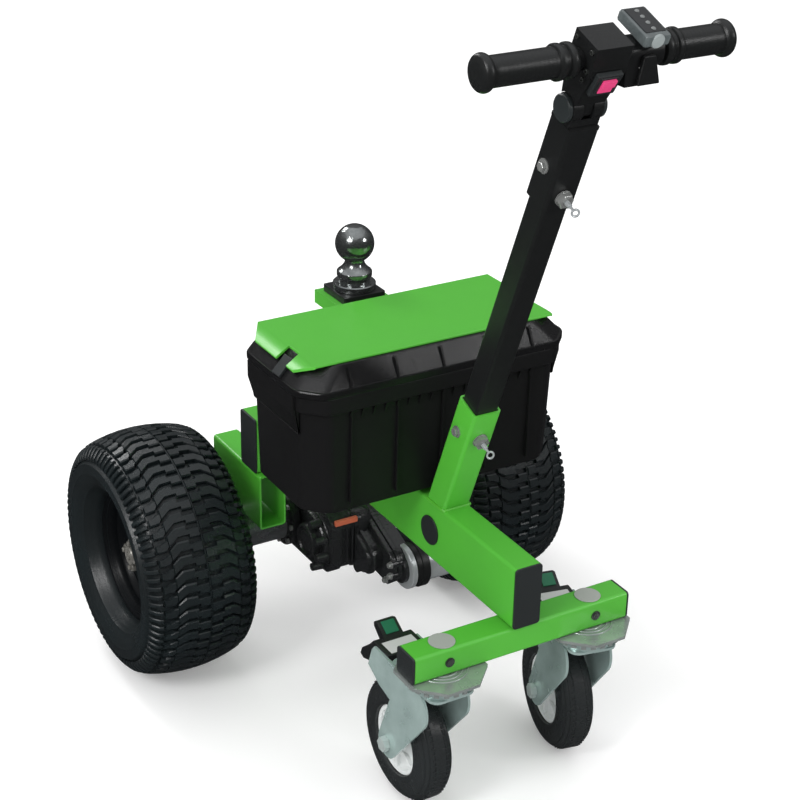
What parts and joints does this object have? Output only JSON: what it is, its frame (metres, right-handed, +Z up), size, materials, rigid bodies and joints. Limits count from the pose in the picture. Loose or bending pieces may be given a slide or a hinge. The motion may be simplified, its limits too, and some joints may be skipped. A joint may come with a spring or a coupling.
{
  "type": "electric trailer dolly",
  "caption": "Battery-driven walk-behind dolly with turf drive wheels, swivel casters, a tow ball on a receiver post and a leaning column with handlebar throttle.",
  "frame": {"origin": "on the floor, under the middle of the machine's bounding box", "axes": "+Z up; +X to the operator's right; the operator walks on the -Y side and the tow ball stands towards +Y"},
  "size_m": [0.655, 0.7782, 1.002],
  "materials": {
    "green_paint": "gloss powder coat",
    "black_paint": "satin powder coat",
    "black_cap_plastic": "matt moulded",
    "box_plastic": "fine-grained moulded",
    "grey_plastic": "matt moulded",
    "turf_tyre": "moulded tread rubber",
    "caster_rubber": "soft moulded rubber",
    "zinc_plate": "bright zinc plated",
    "chrome_steel": "polished chrome",
    "gearcase_paint": "satin enamel",
    "motor_steel": "machined silver",
    "hub_plastic": "satin moulded",
    "grip_rubber": "soft ribbed rubber",
    "brake_plastic": "satin moulded",
    "switch_red": "gloss moulded",
    "meter_housing": "gloss moulded",
    "battery_case": "matt moulded"
  },
  "bodies": {
    "frame": {"main_beam": "green_paint", "cross_beam": "green_paint", "rear_cross_tube": "green_paint", "axle_rails": "green_paint", "receiver_tube": "green_paint", "column_socket": "green_paint", "main_beam_cap": "black_cap_plastic", "beam_side_plugs": "black_cap_plastic", "cross_beam_caps": "black_cap_plastic", "rear_tube_caps": "black_cap_plastic", "stem_plugs": "grey_plastic", "ball_post": "black_paint", "tow_ball": "chrome_steel", "receiver_pin": "zinc_plate", "battery_box": "box_plastic", "battery": "battery_case", "gearcase": "gearcase_paint", "axle_tubes": "gearcase_paint", "drive_motor": "motor_steel", "socket_clamp": "zinc_plate", "caster_plates": "zinc_plate"},
    "lid": {"battery_box_lid": "box_plastic", "cover_plate": "green_paint", "lid_latches": "black_cap_plastic"},
    "column": {"lower_column": "black_paint"},
    "sleeve": {"upper_sleeve": "black_paint", "tilt_barrel": "black_paint", "tilt_pivot": "black_cap_plastic", "sleeve_clamp": "zinc_plate"},
    "handle": {"handle_head": "black_paint", "handlebar": "black_paint", "grip_left": "grip_rubber", "grip_right": "grip_rubber", "switch_housing": "black_cap_plastic", "rocker_switch": "switch_red", "throttle_body": "black_cap_plastic", "throttle_meter": "meter_housing", "thumb_lever": "black_cap_plastic"},
    "left_wheel": {"drive_tyre_left": "turf_tyre", "drive_rim_left": "black_paint", "drive_hub_left": "zinc_plate"},
    "left_fork": {"caster_fork_left": "zinc_plate", "caster_axle_left": "zinc_plate", "brake_pedal_left": "brake_plastic"},
    "left_caster_wheel": {"caster_tyre_left": "caster_rubber", "caster_hub_left": "hub_plastic"},
    "right_wheel": {"drive_tyre_right": "turf_tyre", "drive_rim_right": "black_paint", "drive_hub_right": "zinc_plate"},
    "right_fork": {"caster_fork_right": "zinc_plate", "caster_axle_right": "zinc_plate", "brake_pedal_right": "brake_plastic"},
    "right_caster_wheel": {"caster_tyre_right": "caster_rubber", "caster_hub_right": "hub_plastic"}
  },
  "joints": [
    {"name": "left_wheel_spin", "type": "hinge", "parent": "frame", "child": "left_wheel", "pos_m": [-0.2475, 0.22008, 0.169], "axis": [1, 0, 0], "continuous": true},
    {"name": "right_wheel_spin", "type": "hinge", "parent": "frame", "child": "right_wheel", "pos_m": [0.2475, 0.22008, 0.169], "axis": [1, 0, 0], "continuous": true},
    {"name": "left_caster_swivel", "type": "hinge", "parent": "frame", "child": "left_fork", "pos_m": [-0.1044, -0.27492, 0.219], "axis": [0, 0, 1], "continuous": true},
    {"name": "left_caster_spin", "type": "hinge", "parent": "left_fork", "child": "left_caster_wheel", "pos_m": [-0.1044, -0.20592, 0.08], "axis": [1, 0, 0], "continuous": true},
    {"name": "right_caster_swivel", "type": "hinge", "parent": "frame", "child": "right_fork", "pos_m": [0.1044, -0.27492, 0.219], "axis": [0, 0, 1], "continuous": true},
    {"name": "right_caster_spin", "type": "hinge", "parent": "right_fork", "child": "right_caster_wheel", "pos_m": [0.11875, -0.20743, 0.08], "axis": [0.9781, -0.2079, 0], "continuous": true},
    {"name": "column_slide", "type": "slide", "parent": "frame", "child": "column", "axis": [0, -0.3633, 0.9317], "range_m": [-0.06, 0.04]},
    {"name": "sleeve_slide", "type": "slide", "parent": "column", "child": "sleeve", "axis": [0, -0.3633, 0.9317], "range_m": [-0.03, 0.02]},
    {"name": "handle_tilt", "type": "hinge", "parent": "sleeve", "child": "handle", "pos_m": [0, -0.33641, 0.90654], "axis": [1, 0, 0], "range_deg": [-40, 60]},
    {"name": "lid_lift", "type": "slide", "parent": "frame", "child": "lid", "axis": [0, 0, 1], "range_m": [0, 0.15]}
  ]
}
